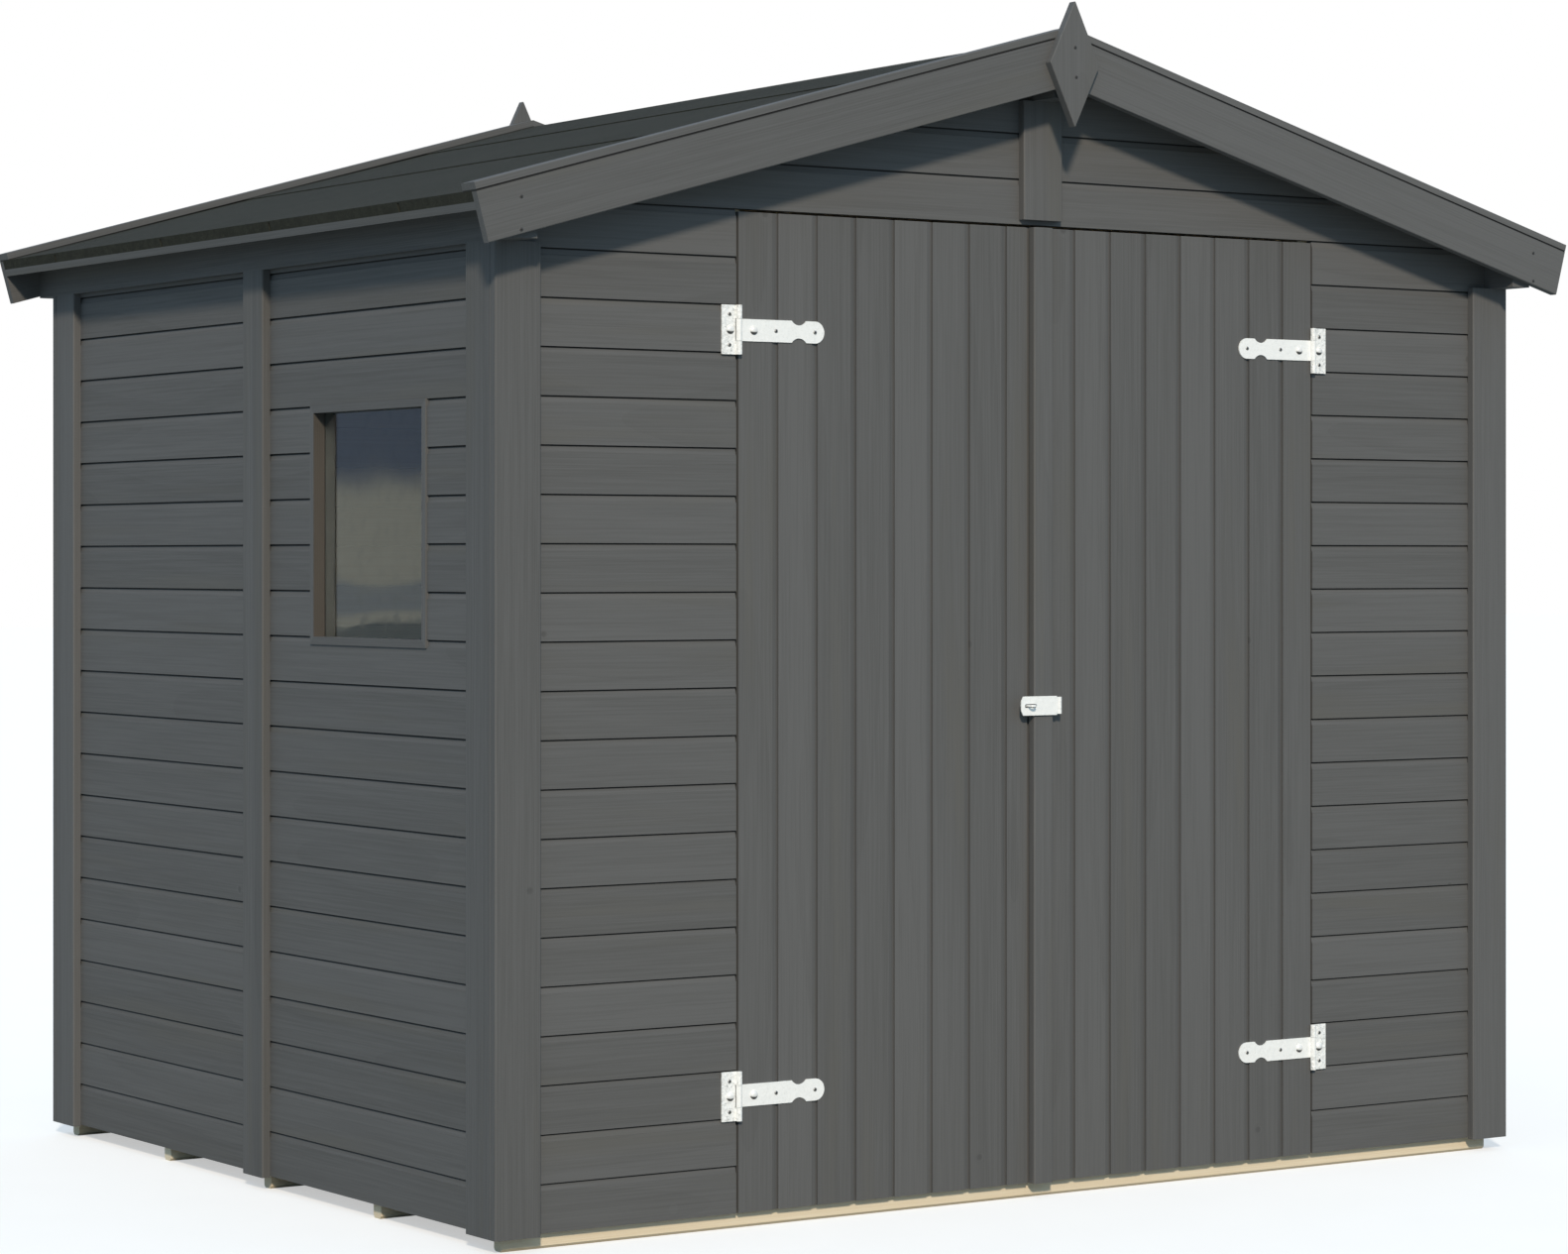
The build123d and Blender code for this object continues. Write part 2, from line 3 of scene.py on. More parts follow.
import bpy
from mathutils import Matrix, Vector


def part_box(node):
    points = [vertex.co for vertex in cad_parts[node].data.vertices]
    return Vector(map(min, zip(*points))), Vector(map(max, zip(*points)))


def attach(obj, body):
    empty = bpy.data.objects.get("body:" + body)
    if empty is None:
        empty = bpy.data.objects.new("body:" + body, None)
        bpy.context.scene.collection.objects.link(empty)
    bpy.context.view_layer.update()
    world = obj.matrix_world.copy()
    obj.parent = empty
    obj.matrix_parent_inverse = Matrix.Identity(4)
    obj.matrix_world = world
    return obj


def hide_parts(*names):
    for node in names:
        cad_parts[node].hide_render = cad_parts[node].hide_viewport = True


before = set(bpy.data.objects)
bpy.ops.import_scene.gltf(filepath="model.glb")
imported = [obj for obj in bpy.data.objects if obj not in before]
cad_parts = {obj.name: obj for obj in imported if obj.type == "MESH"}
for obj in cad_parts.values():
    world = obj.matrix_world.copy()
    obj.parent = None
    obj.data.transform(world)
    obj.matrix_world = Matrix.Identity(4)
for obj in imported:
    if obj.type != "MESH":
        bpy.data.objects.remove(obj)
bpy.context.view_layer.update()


# Floor bearers. Five planed softwood battens lie flat on the ground across the whole width.
# They are left bare, so they show pale under the stained walls. Their lower edges are chamfered.


class Wire:
    """A number that a shader works out. Arithmetic on it adds Math nodes to that shader's graph."""

    def __init__(self, graph, socket):
        self.graph = graph
        self.socket = socket

    def math(self, operation, *others):
        inputs = dict(enumerate([self, *others]))
        return self.graph.node("ShaderNodeMath", {"operation": operation}, inputs)

    def other(self, output):
        return Wire(self.graph, self.socket.node.outputs[output])

    def ramp(self, low, high, start=0.0, end=1.0):
        settings = {"interpolation_type": "SMOOTHSTEP"}
        inputs = {"Value": self, "From Min": low, "From Max": high, "To Min": start, "To Max": end}
        return self.graph.node("ShaderNodeMapRange", settings, inputs)

    def __add__(self, other):
        return self.math("ADD", other)

    def __radd__(self, other):
        return self.math("ADD", other)

    def __sub__(self, other):
        return self.math("SUBTRACT", other)

    def __rsub__(self, other):
        return self.math("MULTIPLY", -1.0) + other

    def __mul__(self, other):
        return self.math("MULTIPLY", other)

    def __rmul__(self, other):
        return self.math("MULTIPLY", other)

    def __truediv__(self, other):
        return self.math("DIVIDE", other)


class Graph:
    """The nodes of one material or of the surround, started empty."""

    def __init__(self, tree):
        self.tree = tree
        self.tree.nodes.clear()

    def node(self, kind, settings=None, inputs=None, output=0):
        made = self.tree.nodes.new(kind)
        for key, value in (settings or {}).items():
            setattr(made, key, value)
        for key, value in (inputs or {}).items():
            if isinstance(value, Wire):
                self.tree.links.new(value.socket, made.inputs[key])
            else:
                made.inputs[key].default_value = value
        return Wire(self, made.outputs[output])

    def split(self, vector):
        first = self.node("ShaderNodeSeparateXYZ", inputs={0: vector})
        return first, first.other(1), first.other(2)

    def join(self, x, y, z):
        return self.node("ShaderNodeCombineXYZ", inputs={0: x, 1: y, 2: z})

    def noise(self, vector, scale=1.0, detail=3.0, roughness=0.5):
        inputs = {"Vector": vector, "Scale": scale, "Detail": detail, "Roughness": roughness}
        return self.node("ShaderNodeTexNoise", inputs=inputs)

    def chance(self, number):
        return self.node("ShaderNodeTexWhiteNoise", {"noise_dimensions": "1D"}, {"W": number})

    def cells(self, vector, scale):
        return self.node("ShaderNodeTexVoronoi", inputs={"Vector": vector, "Scale": scale})

    def mix(self, share, first, second):
        inputs = {0: share, 6: first, 7: second}
        return self.node("ShaderNodeMix", {"data_type": "RGBA"}, inputs, output=2)

    def relief(self, height, distance, strength):
        inputs = {"Height": height, "Distance": distance, "Strength": strength}
        return self.node("ShaderNodeBump", inputs=inputs)


class Surface(Graph):
    """A material with one Principled shader, whose patterns follow the row frame at rest."""

    def __init__(self, name):
        self.material = bpy.data.materials.new(name)
        self.material.use_nodes = True
        super().__init__(self.material.node_tree)
        self.shader = self.tree.nodes.new("ShaderNodeBsdfPrincipled")
        self.output = self.tree.nodes.new("ShaderNodeOutputMaterial")
        self.tree.links.new(self.shader.outputs[0], self.output.inputs[0])
        self.place = self.node("ShaderNodeTexCoord").other("Object")
        self.x, self.y, self.z = self.split(self.place)
        self.facing = self.split(self.place.other("Normal"))

    def feed(self, **values):
        for key, value in values.items():
            socket = self.shader.inputs[key.replace("_", " ")]
            if isinstance(value, Wire):
                self.tree.links.new(value.socket, socket)
            else:
                socket.default_value = value


X, Y, Z = range(3)
PALE_WOOD = (0.86, 0.76, 0.585, 1)
RING_WOOD = (0.72, 0.58, 0.39, 1)
KNOT_WOOD = (0.22, 0.115, 0.055, 1)
STAIN = (0.121, 0.121, 0.121, 1)
STAIN_DARK = (0.089, 0.089, 0.088, 1)
STAIN_KNOT = (0.072, 0.072, 0.071, 1)
STAIN_WARM = (0.113, 0.110, 0.102, 1)
# Near black painted into channels and narrow gaps as the shade that falls there.
PAINTED_GAP_SHADE = (0.014, 0.014, 0.014, 1)
RING_PITCH = 0.0036
PITH_SPREAD = 0.16
PITH_DEPTH = 0.03
PITH_DEPTH_SPREAD = 0.05
KNOT_DENSITY = 6.5
KNOT_EDGE = (0.0045, 0.0085)
KNOT_PULL = 0.016
GRAIN_DEPTH = 0.00022


def timber(name, layout, bare=None, joint=None, covers=()):
    """Softwood. bare is the share left unstained, 0 to 1, and joint is how much a board joint shows.

    covers holds pairs of a share and a colour painted over the wood there; they carry painted shade and
    painted light.
    """
    s = Surface(name)
    along, local, depth, number = layout(s)
    luck = s.chance(number)
    second_luck = s.chance(number + 0.37)
    shifted = along + luck * 37.0

    sway = s.noise(s.join(shifted * 0.9, local * 3.0, depth * 3.0), detail=1.0) - 0.5
    knots = s.cells(s.join(shifted, local, second_luck * 9.0), KNOT_DENSITY)
    knot_kept = s.split(knots.other("Color"))[0].ramp(0.62, 0.66)
    knot_reach = knots / KNOT_DENSITY
    knot = knot_reach.ramp(*KNOT_EDGE, 1.0, 0.0) * knot_kept
    pull = knot_reach.ramp(0.0, KNOT_PULL, 1.0, 0.0) * knot_kept

    from_pith = local + (luck - 0.5) * PITH_SPREAD + sway * 0.008
    under_pith = depth + PITH_DEPTH + second_luck * PITH_DEPTH_SPREAD + sway * 0.012
    radius = (from_pith * from_pith + under_pith * under_pith).math("SQRT")
    ring = ((radius + pull * 0.003) / RING_PITCH).math("FRACT").ramp(0.35, 0.98)
    fibre = s.noise(s.join(shifted * 7.0, local * 420.0, depth * 420.0), detail=3.0, roughness=0.6)
    patch = s.noise(s.join(shifted * 1.1, local * 14.0, depth * 14.0), detail=3.0)
    streak = s.noise(s.join(shifted * 2.5, local * 210.0, depth * 210.0), detail=2.0).ramp(0.34, 0.66)
    grain = ring * 0.22 + fibre.ramp(0.34, 0.66) * 0.40 + streak * 0.38

    stained = s.mix(grain * 0.75 + (luck - 0.5) * 0.45 + (patch - 0.5) * 0.5, STAIN, STAIN_DARK)
    stained = s.mix(patch.ramp(0.52, 0.72) * 0.7, stained, STAIN_WARM)
    stained = s.mix(knot * 0.65, stained, STAIN_KNOT)
    colour = stained
    rough = 0.60 + grain * 0.12
    if bare is not None:
        natural = s.mix(grain * 0.62 + (second_luck - 0.5) * 0.35, PALE_WOOD, RING_WOOD)
        natural = s.mix(knot * 0.85, natural, KNOT_WOOD)
        if joint is not None:
            natural = s.mix(joint(s) * 0.85, natural, KNOT_WOOD)
        colour = s.mix(bare(s) if callable(bare) else bare, stained, natural)
    for share, over in covers:
        colour = s.mix(share(s), colour, over)
    height = ring * 0.35 + fibre * 0.4 - knot * 0.6
    if joint is not None:
        height = height - joint(s) * 6.0
    s.feed(Base_Color=colour, Roughness=rough, Normal=s.relief(height, GRAIN_DEPTH, 0.8))
    s.feed(Specular_IOR_Level=0.35)
    return s.material


def rows(grain, stack, depth, first, cover):
    """Layout of boards that run along one axis and stack along another from a first edge."""

    def layout(s):
        axes = (s.x, s.y, s.z)
        place = (axes[stack] - first) / cover
        number = place.math("FLOOR")
        return axes[grain], (place - number - 0.5) * cover, axes[depth], number

    return layout


def dress(material, *names):
    for name in names:
        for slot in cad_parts[name].material_slots:
            slot.material = material


bearers = 5
bearer_width = 0.028
bearer_low, bearer_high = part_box("floor_bearers")
bearer_pitch = (bearer_high.y - bearer_low.y - bearer_width) / (bearers - 1)
bearer_first = bearer_low.y + bearer_width / 2 - bearer_pitch / 2
dress(timber("bare_bearers", rows(X, Y, Z, bearer_first, bearer_pitch), bare=1.0), "floor_bearers")


# Floor boards. Tongue and groove softwood boards nailed over the bearers, running front to back.
# The joints stay a hair open and every upper arris is eased.


def make_piece(name, corners, faces, material, body, smooth=False):
    mesh = bpy.data.meshes.new(name)
    mesh.from_pydata(corners, [], faces)
    mesh.update()
    mesh.materials.append(material)
    for polygon in mesh.polygons:
        polygon.use_smooth = smooth
    piece = bpy.data.objects.new(name, mesh)
    bpy.context.scene.collection.objects.link(piece)
    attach(piece, body)
    return piece


def planks(name, sections, y_front, y_back, material, slot, *nodes):
    """Boards that run front to back, each from an outline of x and z corners, joined in one mesh."""
    corners = []
    faces = []
    for section in sections:
        start = len(corners)
        count = len(section)
        for y in (y_front, y_back):
            corners += [(x, y, z) for x, z in section]
        ring = list(range(start, start + count))
        faces.append(tuple(ring))
        faces.append(tuple(corner + count for corner in reversed(ring)))
        for index in range(count):
            a = ring[index]
            b = ring[(index + 1) % count]
            faces.append((b, a, a + count, b + count))
    piece = make_piece(name, corners, faces, material, "shed")
    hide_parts(*nodes)


floor_low, floor_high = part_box("floor_boards")
floor_boards = 25
floor_cover = (floor_high.x - floor_low.x) / floor_boards
floor_gap = 0.0006
floor_arris = 0.0012
floor_sections = []
for index in range(floor_boards):
    left = floor_low.x + index * floor_cover + (floor_gap if index else 0.0)
    right = floor_low.x + (index + 1) * floor_cover - (floor_gap if index < floor_boards - 1 else 0.0)
    floor_sections.append(
        [
            (left, floor_low.z),
            (right, floor_low.z),
            (right, floor_high.z - floor_arris),
            (right - floor_arris, floor_high.z),
            (left + floor_arris, floor_high.z),
            (left, floor_high.z - floor_arris),
        ]
    )
floor_wood = timber("bare_floor", rows(Y, X, Z, floor_low.x, floor_cover), bare=1.0)
planks("floor_planks", floor_sections, floor_low.y, floor_high.y, floor_wood, "bare_wood", "floor_boards")


# Wall boards. Tongue and groove spruce boards, 84 mm cover, nailed to the battens of each element.
# Outside they have a semi-opaque dark grey stain, and inside they are bare with closed joints.

board_cover = 0.084
boards_foot = 0.029
joint_half = 0.0007
channel_shade_start = 0.0036
channel_shade_full = 0.0041
channel_shade_end = 0.0055


def turned_to(axis, sign):
    """Share of a surface that faces along one axis."""
    return lambda s: (s.facing[axis] * sign).math("GREATER_THAN", 0.5)


def joint_lines(axis, sign, stack, first):
    """Thin closed joints between boards, on the faces turned towards the room."""

    def lines(s):
        place = (((s.x, s.y, s.z)[stack] - first) / board_cover + 0.5).math("FRACT") - 0.5
        near = (place.math("ABSOLUTE") * board_cover).ramp(joint_half / 2, joint_half, 1.0, 0.0)
        return near * turned_to(axis, sign)(s)

    return lines


def groove(axis, sign, face):
    """Painted shadow in the deepest part of the channel below each seam, on the faces turned outwards."""

    def deep(s):
        sunk = ((s.x, s.y, s.z)[axis] - face) * sign
        shade = sunk.ramp(channel_shade_start, channel_shade_full)
        return shade * sunk.math("LESS_THAN", channel_shade_end) * turned_to(axis, -sign)(s)

    return deep


for name, grain, depth, sign, nodes in (
    ("stained_front_boards", X, Y, 1, ("front_wall_left", "front_wall_right", "front_gable")),
    ("stained_back_boards", X, Y, -1, ("back_wall", "back_gable")),
    ("stained_left_boards", Y, X, 1, ("left_wall_front", "left_wall_back")),
    ("stained_right_boards", Y, X, -1, ("right_wall_front", "right_wall_back")),
):
    inner_joints = joint_lines(depth, sign, Z, boards_foot)
    boards = rows(grain, Z, depth, boards_foot, board_cover)
    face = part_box(nodes[0])[0 if sign > 0 else 1][depth]
    # The deep part of each channel is painted near black as the shadow under the seam.
    covers = ((groove(depth, sign, face), PAINTED_GAP_SHADE),)
    dress(timber(name, boards, turned_to(depth, sign), inner_joints, covers), *nodes)


# Wall frames. Each wall element is a frame of one size of planed softwood batten, screwed together.
# Posts, studs and the door stops have upright grain, and rails run with the wall or the slope.


def single(grain, across, depth, step=0.35):
    """Layout of separate lengths of wood, each with its own figure."""

    def layout(s):
        axes = (s.x, s.y, s.z)
        others = [axis for axis in (X, Y, Z) if axis != grain]
        number = (axes[others[0]] / step).math("FLOOR") * 7.0 + (axes[others[1]] / step).math("FLOOR")
        return axes[grain], axes[across], axes[depth], number + 0.5

    return layout


dress(timber("bare_side_rails", single(Y, Z, X), bare=1.0), "side_rails")
uprights = timber("bare_uprights", single(Z, X, Y, step=0.21), bare=1.0)
dress(uprights, "side_studs", "end_posts", "door_stops")
dress(timber("bare_end_rails", single(X, Z, Y), bare=1.0), "end_rails")

slope = math.radians(15.5)
felt_low, felt_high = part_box("roofing_felt")
roof_apex = felt_high.z
gable_timber_y = 0.98


def on_slope(s):
    """Reach down the slope from the ridge and depth under the roof's top plane."""
    out = s.x.math("ABSOLUTE")
    drop = (s.z - roof_apex) * -1.0
    reach = out * math.cos(slope) + drop * math.sin(slope)
    depth = drop * math.cos(slope) - out * math.sin(slope)
    return reach, depth


def down_slope(centre):
    """Layout of lengths of wood that lie down the slope, centred at a depth under the roof's top."""

    def layout(s):
        reach, depth = on_slope(s)
        number = s.x.math("GREATER_THAN", 0.0) * 3.0 + s.y.math("GREATER_THAN", 0.0) * 5.0
        return reach, depth - centre, s.y.math("ABSOLUTE") - gable_timber_y, number + 0.5

    return layout


dress(timber("bare_gable_rails", down_slope(0.04), bare=1.0), "gable_rails")


# Cover boards. Planed boards over the corners, the element joints and the middle of each gable.
# They have the same grey stain as the walls, upright grain and softly rounded arrises.

dress(
    timber("stained_cover_boards", single(Z, X, Y, step=0.29)),
    "end_corner_boards",
    "gable_centre_boards",
    "door_cover_strip",
)
side_cover_boards = timber("stained_side_cover_boards", single(Z, Y, X, step=0.29))
dress(side_cover_boards, "side_corner_boards", "side_joint_boards")


# Eaves beams, ridge beam and eaves strips. Stained planed timbers that run the whole roof length.
# The beams carry the deck boards, and the strips are nailed under the deck's edge at the eaves.

beams = timber("stained_beams", single(Y, Z, X, step=0.5))
dress(beams, "eaves_beams", "ridge_beam", "eaves_strips")


# Roof deck. Tongue and groove boards laid parallel to the eaves over the beams, V-jointed below.
# The underside is bare. The first board of each slope is cut plumb at the ridge.

deck_top = 0.003
deck_under = 0.019
deck_cover = 0.0915
deck_vee = 0.0025
deck_gap = 0.0002
deck_reach = felt_high.x / math.cos(slope) - deck_top
sliver = 0.001
SIDES = (("left", -1), ("right", 1))


def section_point(side, reach, depth):
    x = reach * math.cos(slope) - depth * math.sin(slope)
    return (side * x, roof_apex - reach * math.sin(slope) - depth * math.cos(slope))


def deck_boards(s):
    reach, depth = on_slope(s)
    place = reach / deck_cover
    number = place.math("FLOOR")
    return s.y, (place - number - 0.5) * deck_cover, depth, number + s.x.math("GREATER_THAN", 0.0) * 31.0


def eaves_edge_shade(s):
    """Painted shade on the deck's edge at the eaves, which shows only as a dark line in the felt's cuts."""
    return on_slope(s)[0].ramp(deck_reach - 2 * sliver, deck_reach - sliver)


# The deck's edge at the eaves is painted near black as the shade inside the felt's cuts.
deck_wood = timber("bare_deck", deck_boards, bare=1.0, covers=((eaves_edge_shade, PAINTED_GAP_SHADE),))
for side_name, side in SIDES:
    sections = []
    reach = 0.0
    while reach < deck_reach - sliver:
        far = min(reach + deck_cover, deck_reach)
        if reach == 0.0:
            near_edge = [(deck_under * math.tan(slope), deck_under), (deck_top * math.tan(slope), deck_top)]
        else:
            near = reach + deck_gap
            near_edge = [(near + deck_vee, deck_under), (near, deck_under - deck_vee), (near, deck_top)]
        if far == deck_reach:
            far_edge = [(far, deck_top), (far, deck_under)]
        else:
            end = far - deck_gap
            far_edge = [(end, deck_top), (end, deck_under - deck_vee), (end - deck_vee, deck_under)]
        outline = [section_point(side, *corner) for corner in near_edge + far_edge]
        sections.append(outline if side > 0 else outline[::-1])
        reach = far
    deck_name = f"roof_deck_{side_name}"
    planks(f"{deck_name}_planks", sections, felt_low.y, felt_high.y, deck_wood, "bare_wood", deck_name)


# Roofing felt. Bitumen sheet with a fine green-grey mineral grit, lapped down the slope.
# It is folded over the edge boards at the eaves, where the fold is cut.

felt = Surface("felt_grit")
grains = felt.cells(felt.place, 900.0)
grain_shade = felt.split(grains.other("Color"))[0]
clumps = felt.noise(felt.place, 70.0, detail=4.0, roughness=0.65)
wear = felt.noise(felt.place, 3.5, detail=3.0)
streaks = felt.noise(felt.join(felt.x * 4.0, felt.y * 22.0, felt.z * 4.0), detail=3.0)
grit = felt.mix(grain_shade, (0.016, 0.0175, 0.0135, 1), (0.060, 0.060, 0.046, 1))
grit = felt.mix(clumps.ramp(0.35, 0.70) * 0.60, grit, (0.019, 0.020, 0.016, 1))
grit = felt.mix(wear.ramp(0.45, 0.75) * 0.35, grit, (0.045, 0.044, 0.036, 1))
grit = felt.mix(streaks.ramp(0.50, 0.72) * 0.30, grit, (0.018, 0.0175, 0.0145, 1))
felt_height = grain_shade * 0.6 + clumps * 0.8
felt.feed(
    Base_Color=grit,
    Roughness=0.86 + (grain_shade - 0.5) * 0.12,
    Normal=felt.relief(felt_height, 0.0006, 0.9),
    Specular_IOR_Level=0.12,
)
dress(felt.material, "roofing_felt")


# Fascias and capping strips. Planed boards on the ends of the deck and beams, with a strip on top
# that holds the felt. Each fascia has two countersunk screws near its foot, into the eaves beam.

capping_shade_top = (-0.0018, -0.0010)
capping_shade_foot = (0.0016, 0.0026)


def shade_under_capping(s):
    """Painted shade along the joint between the fascia's top and the strip, seen from the gable end."""
    depth = on_slope(s)[1]
    return depth.ramp(*capping_shade_foot, 1.0, 0.0) * depth.ramp(*capping_shade_top)


# A near black line is painted along the joint under the strip as the shade that falls there.
capping_shade_covers = ((shade_under_capping, PAINTED_GAP_SHADE),)
dress(timber("stained_fascias", down_slope(0.045), covers=capping_shade_covers), "left_fascias", "right_fascias")
capping_wood = timber("stained_cappings", down_slope(-0.007), covers=capping_shade_covers)
dress(capping_wood, "left_capping_strips", "right_capping_strips")

screw_metal = Surface("screw_zinc")
screw_tone = screw_metal.noise(screw_metal.place, 900.0, detail=2.0)
screw_metal.feed(
    Base_Color=screw_metal.mix(screw_tone, (0.30, 0.30, 0.29, 1), (0.52, 0.52, 0.50, 1)),
    Roughness=0.38 + screw_tone * 0.2,
    Metallic=1.0,
)
painted_screw = Surface("screw_stained")
painted_tone = painted_screw.noise(painted_screw.place, 700.0, detail=2.0)
painted_screw.feed(
    Base_Color=painted_screw.mix(painted_tone, (0.036, 0.036, 0.036, 1), (0.066, 0.066, 0.065, 1)),
    Roughness=0.5 + painted_tone * 0.2,
)


LOBES = 6
LOBE_SHARE = 0.16


def heads(name, profile, places, material, body, lobed=()):
    """Turned heads of screws or bolts, joined in one mesh. profile goes from the middle outwards.

    Rings of the profile that lobed names get the lobes of a driver's recess.
    """
    steps = 24
    corners = []
    faces = []
    for place, normal in places:
        normal = Vector(normal).normalized()
        side = normal.orthogonal().normalized()
        up = normal.cross(side)
        start = len(corners)
        corners.append(tuple(Vector(place) + normal * profile[0][1]))
        for ring, (radius, height) in enumerate(profile[1:], 1):
            for step in range(steps):
                angle = math.tau * step / steps
                swell = LOBE_SHARE * math.cos(LOBES * angle) if ring in lobed else 0.0
                reach = radius * (1 + swell)
                out = side * math.cos(angle) + up * math.sin(angle)
                corners.append(tuple(Vector(place) + out * reach + normal * height))
        for step in range(steps):
            after = (step + 1) % steps
            faces.append((start, start + 1 + step, start + 1 + after))
            for ring in range(len(profile) - 2):
                low = start + 1 + ring * steps
                high = low + steps
                faces.append((low + step, high + step, high + after, low + after))
        last = start + 1 + (len(profile) - 2) * steps
        faces.append(tuple(last + steps - 1 - step for step in range(steps)))
    make_piece(name, corners, faces, material, body, smooth=True)


# Near black for the screws' recesses: painted shade, laid on a disc over each head.
recess_shade = Surface("screw_recess")
recess_shade_tone = recess_shade.noise(recess_shade.place, 1500.0, detail=2.0)
recess_shade.feed(
    Base_Color=recess_shade.mix(recess_shade_tone, (0.006, 0.006, 0.006, 1), (0.022, 0.021, 0.020, 1)),
    Roughness=0.8 + recess_shade_tone * 0.1,
)


RECESS_RADIUS = 0.0016
RECESS_DEPTH = 0.0008
RECESS_LOBED_RINGS = (1, 2)


def screws(name, profile, rise, places, material, body):
    """Heads with the lobed recess that the driver fits, a dark disc at a rise over the face painted as the
    shade in the recess.
    """
    heads(name, profile, places, material, body)
    recess = ((0, rise), (RECESS_RADIUS, rise), (RECESS_RADIUS, rise - RECESS_DEPTH))
    heads(f"{name}_recesses", recess, places, recess_shade.material, body, RECESS_LOBED_RINGS)


TO_FRONT = (0, -1, 0)
TO_BACK = (0, 1, 0)
SUNK_RISE = 0.00005
SUNK_SCREW = ((0, 0.00002), (0.0037, 0.00002), (0.0038, -0.0002), (0.0038, -0.0015))
fascia_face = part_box("left_fascias")[0].y
fascia_screw_x = 1.1555
fascia_screw_heights = (1.7832, 1.7282)
screw_places = []
for side in (-1, 1):
    for z in fascia_screw_heights:
        screw_places.append(((side * fascia_screw_x, fascia_face, z), TO_FRONT))
        screw_places.append(((side * fascia_screw_x, -fascia_face, z), TO_BACK))
screws("fascia_screws", SUNK_SCREW, SUNK_RISE, screw_places, painted_screw.material, "shed")


# Finials. A diamond of the same stained board over the fascia joint on each gable,
# held by two screws, one above the other.

dress(timber("stained_finials", single(Z, X, Y, step=0.6)), "finials")
finial_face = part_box("finials")[0].y
finial_screws = ((-0.0003, 2.1095), (0.002, 2.0555))
screw_places = []
for x, z in finial_screws:
    screw_places.append(((x, finial_face, z), TO_FRONT))
    screw_places.append(((x, -finial_face, z), TO_BACK))
screws("finial_screws", SUNK_SCREW, SUNK_RISE, screw_places, painted_screw.material, "shed")


# Window. A clear fixed pane in a stained lining that stands a little proud of the wall boards.
# The lining is painted dark and brownish on the outer jamb as painted shade, and pale grey past the pane as
# painted light.
# The pane is float glass, with the faint waviness and the film of dust of an outdoor pane.

window_low, window_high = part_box("window_lining")
window_y = (window_low.y + window_high.y) / 2
window_z = (window_low.z + window_high.z) / 2
lining_reach = 0.211


def lining(s):
    """Sides upright, head and sill along the wall."""
    out = (s.y - window_y).math("ABSOLUTE")
    rise = (s.z - window_z).math("ABSOLUTE")
    upright = (out - rise).math("GREATER_THAN", 0.0)
    along = upright * s.z + (1.0 - upright) * s.y
    across = upright * out + (1.0 - upright) * rise
    return along, across - lining_reach, s.x - window_low.x, upright * 3.0 + 0.5


pane_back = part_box("window_glass")[1].x
past_pane_blend = 0.0005


def past_pane(s):
    """The room side of the lining, past the pane, painted pale grey as painted light."""
    return s.x.ramp(pane_back - past_pane_blend, pane_back + past_pane_blend)


def outer_jamb(s):
    """The jamb turned to the front, painted dark and brownish as painted shade."""
    in_reveal = (s.y - window_y).math("GREATER_THAN", 0.0)
    return turned_to(Y, -1)(s) * in_reveal * (1.0 - past_pane(s))


JAMB_BROWN_SHADE = (0.072, 0.064, 0.055, 1)
PAINTED_LIGHT_PAST_PANE = (0.31, 0.32, 0.31, 1)
lining_covers = ((outer_jamb, JAMB_BROWN_SHADE), (past_pane, PAINTED_LIGHT_PAST_PANE))
dress(timber("stained_lining", lining, covers=lining_covers), "window_lining")

glass = Surface("pane")
dust = glass.noise(glass.place, 38.0, detail=4.0)
waves = glass.noise(glass.place, 4.0, detail=1.0)
glass.feed(
    Base_Color=glass.mix(dust.ramp(0.45, 0.8), (0.93, 0.96, 0.95, 1), (0.86, 0.89, 0.88, 1)),
    Roughness=0.01 + dust.ramp(0.5, 0.8) * 0.05,
    Normal=glass.relief(waves, 0.002, 0.15),
    Transmission_Weight=1.0,
    IOR=1.5,
)
dress(glass.material, "window_glass")


# Doors. Two leaves of the same boards set upright, stained outside and bare inside. Three bare
# ledges hold each leaf on the inside. Two screws fix a ledge to every board but the leaf's last.

left_leaf_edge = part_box("left_door_boards")[0].x
right_leaf_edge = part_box("right_door_boards")[0].x
leaves = (("left", left_leaf_edge), ("right", right_leaf_edge))
for side_name, first in leaves:
    upright_boards = rows(Z, X, Y, first, board_cover)
    inner_joints = joint_lines(Y, 1, X, first)
    leaf_wood = timber(f"stained_{side_name}_leaf", upright_boards, turned_to(Y, 1), inner_joints)
    dress(leaf_wood, f"{side_name}_door_boards")
ledge_wood = timber("bare_ledges", single(X, Z, Y, step=0.6), bare=1.0)
dress(ledge_wood, "left_door_ledges", "right_door_ledges")

